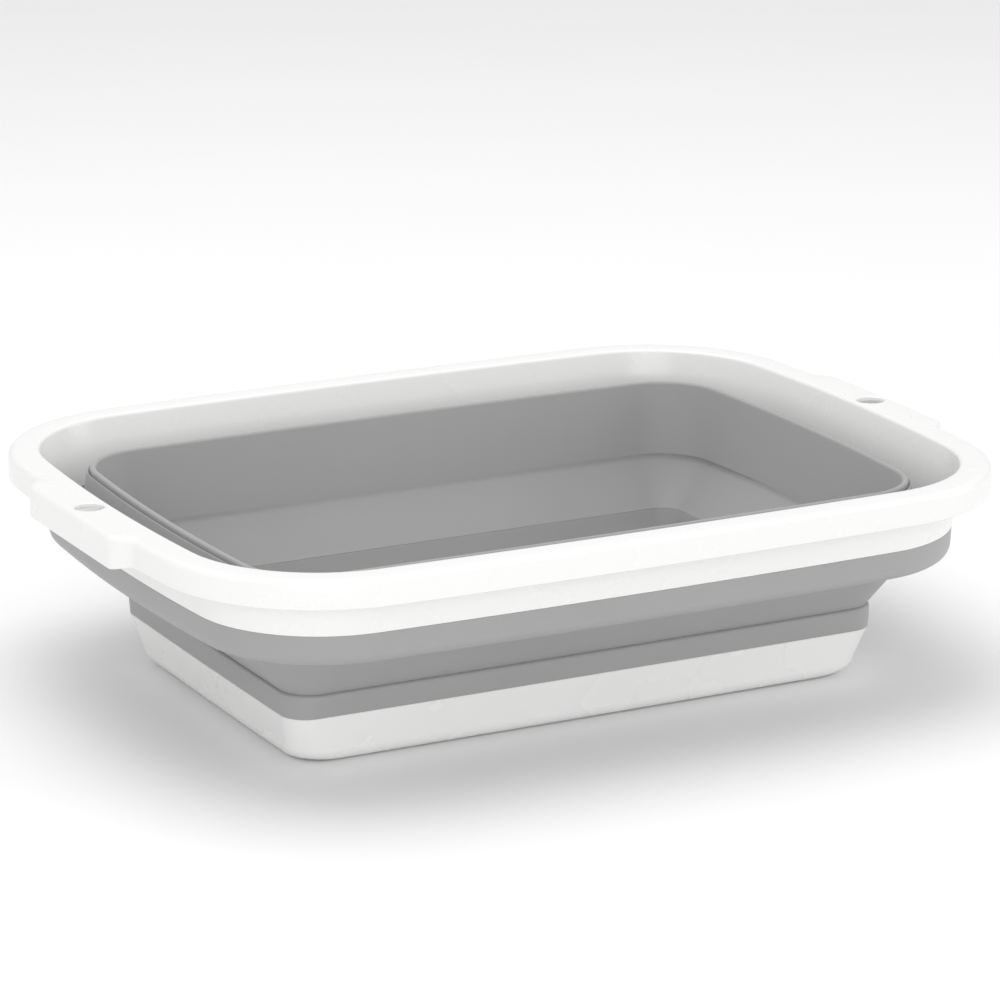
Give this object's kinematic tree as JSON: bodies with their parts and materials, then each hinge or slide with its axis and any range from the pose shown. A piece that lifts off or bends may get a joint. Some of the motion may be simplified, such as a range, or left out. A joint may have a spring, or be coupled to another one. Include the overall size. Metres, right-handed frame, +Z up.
{
  "type": "collapsible pet bathtub",
  "caption": "Collapsible rectangular tub for washing a pet: hard rim with side handles, soft folding wall and hard base pan.",
  "frame": {"origin": "centre of the tub's underside, on the surface that it stands on", "axes": "+X along the long side, towards one handle; +Y along the short side; +Z up, out of the tub's mouth"},
  "size_m": [0.409, 0.3054, 0.1],
  "materials": {
    "white_hard": "smooth glossy white polypropylene",
    "grey_soft": "matte grey thermoplastic rubber"
  },
  "bodies": {
    "base": {"base_pan": "white_hard", "lower_band": "grey_soft", "lower_fold": "grey_soft"},
    "middle": {"middle_ring": "grey_soft", "upper_fold": "grey_soft"},
    "rim": {"rim_frame": "white_hard", "shoulder_ring": "grey_soft"}
  },
  "joints": [
    {"name": "lower_fold_slide", "type": "slide", "parent": "base", "child": "middle", "axis": [0, 0, 1], "range_m": [-0.044, 0], "deforming": ["lower_fold"]},
    {"name": "upper_fold_slide", "type": "slide", "parent": "middle", "child": "rim", "axis": [0, 0, 1], "range_m": [0, 0.062], "deforming": ["upper_fold"]}
  ]
}
